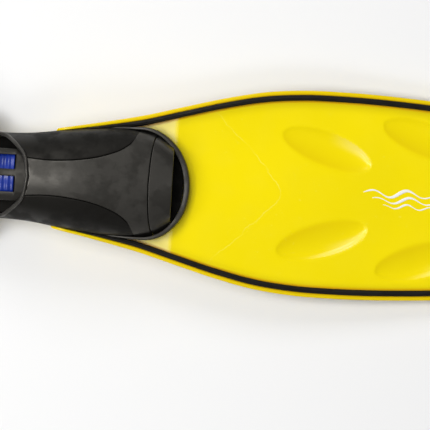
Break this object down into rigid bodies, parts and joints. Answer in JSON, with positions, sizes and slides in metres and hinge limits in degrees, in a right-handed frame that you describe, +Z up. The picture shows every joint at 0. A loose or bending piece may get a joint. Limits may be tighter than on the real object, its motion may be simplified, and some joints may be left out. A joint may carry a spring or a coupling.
{
  "type": "swim fin",
  "caption": "Open-heel swim fin: long dimpled blade with side rails and rubber ribs, moulded foot pocket with open toe, lifting instep tongue and swinging heel strap with quick-release buckles.",
  "frame": {"origin": "middle of the bounding box in plan, on the floor that the fin lies on", "axes": "+X from the heel strap to the blade tip, +Y to the left of the foot, +Z up from the sole"},
  "size_m": [0.71, 0.2214, 0.0935],
  "materials": {
    "blade": "moulded translucent-look yellow polymer, glossy, faint flow marks",
    "pocket_rubber": "satin black moulded rubber",
    "rib_rubber": "satin black soft rubber",
    "foot_bed": "matt black textured rubber",
    "pad_blue": "glossy deep blue soft polymer",
    "strap_rubber": "satin black rubber belt",
    "buckle": "fine-textured black acetal",
    "steel": "stainless steel"
  },
  "bodies": {
    "fin": {"blade": "blade", "toe_rim": "pocket_rubber", "rib_top_left": "rib_rubber", "rib_top_right": "rib_rubber", "rib_bottom_left": "rib_rubber", "rib_bottom_right": "rib_rubber", "pocket_liner": "pocket_rubber", "instep_rim": "pocket_rubber", "instep_panel": "pocket_rubber", "side_panel_left": "pocket_rubber", "side_panel_right": "pocket_rubber", "toe_band": "pocket_rubber", "insole": "foot_bed", "outsole_heel": "foot_bed", "outsole_ball": "foot_bed", "tongue_root": "pocket_rubber", "strap_anchor_left": "buckle", "strap_anchor_right": "buckle", "post_retainer_left": "buckle", "post_retainer_right": "buckle", "retainer_screw_left": "steel", "retainer_screw_right": "steel"},
    "instep_tongue": {"tongue": "pocket_rubber", "instep_pad": "pad_blue"},
    "strap": {"buckle_frame_left": "buckle", "buckle_frame_right": "buckle", "roller_pin_left": "steel", "roller_pin_right": "steel", "lever_pin_left": "steel", "lever_pin_right": "steel", "heel_strap": "strap_rubber", "heel_pad": "pocket_rubber", "pull_tab": "strap_rubber", "strap_keeper_left": "strap_rubber", "strap_keeper_right": "strap_rubber"},
    "lever_left": {"release_lever_left": "buckle"},
    "lever_right": {"release_lever_right": "buckle"},
    "roller_left": {"strap_roller_left": "buckle"},
    "roller_right": {"strap_roller_right": "buckle"}
  },
  "joints": [
    {"name": "tongue_lift", "type": "hinge", "parent": "fin", "child": "instep_tongue", "pos_m": [-0.201, 0, 0.08645], "axis": [0, 1, 0], "range_deg": [0, 60], "stiffness_Nm_per_rad": 0.05},
    {"name": "strap_swing", "type": "hinge", "parent": "fin", "child": "strap", "pos_m": [-0.239, 0, 0.026], "axis": [0, 1, 0], "range_deg": [-45, 50]},
    {"name": "lever_left_release", "type": "hinge", "parent": "strap", "child": "lever_left", "pos_m": [-0.255, 0.0671, 0.026], "axis": [0, 0, -1], "range_deg": [0, 25], "stiffness_Nm_per_rad": 0.05},
    {"name": "lever_right_release", "type": "hinge", "parent": "strap", "child": "lever_right", "pos_m": [-0.255, -0.0671, 0.026], "axis": [0, 0, 1], "range_deg": [0, 25], "stiffness_Nm_per_rad": 0.05},
    {"name": "roller_left_spin", "type": "hinge", "parent": "strap", "child": "roller_left", "pos_m": [-0.267, 0.0585, 0.026], "axis": [0, 0, 1], "continuous": true},
    {"name": "roller_right_spin", "type": "hinge", "parent": "strap", "child": "roller_right", "pos_m": [-0.267, -0.0585, 0.026], "axis": [0, 0, 1], "continuous": true}
  ]
}
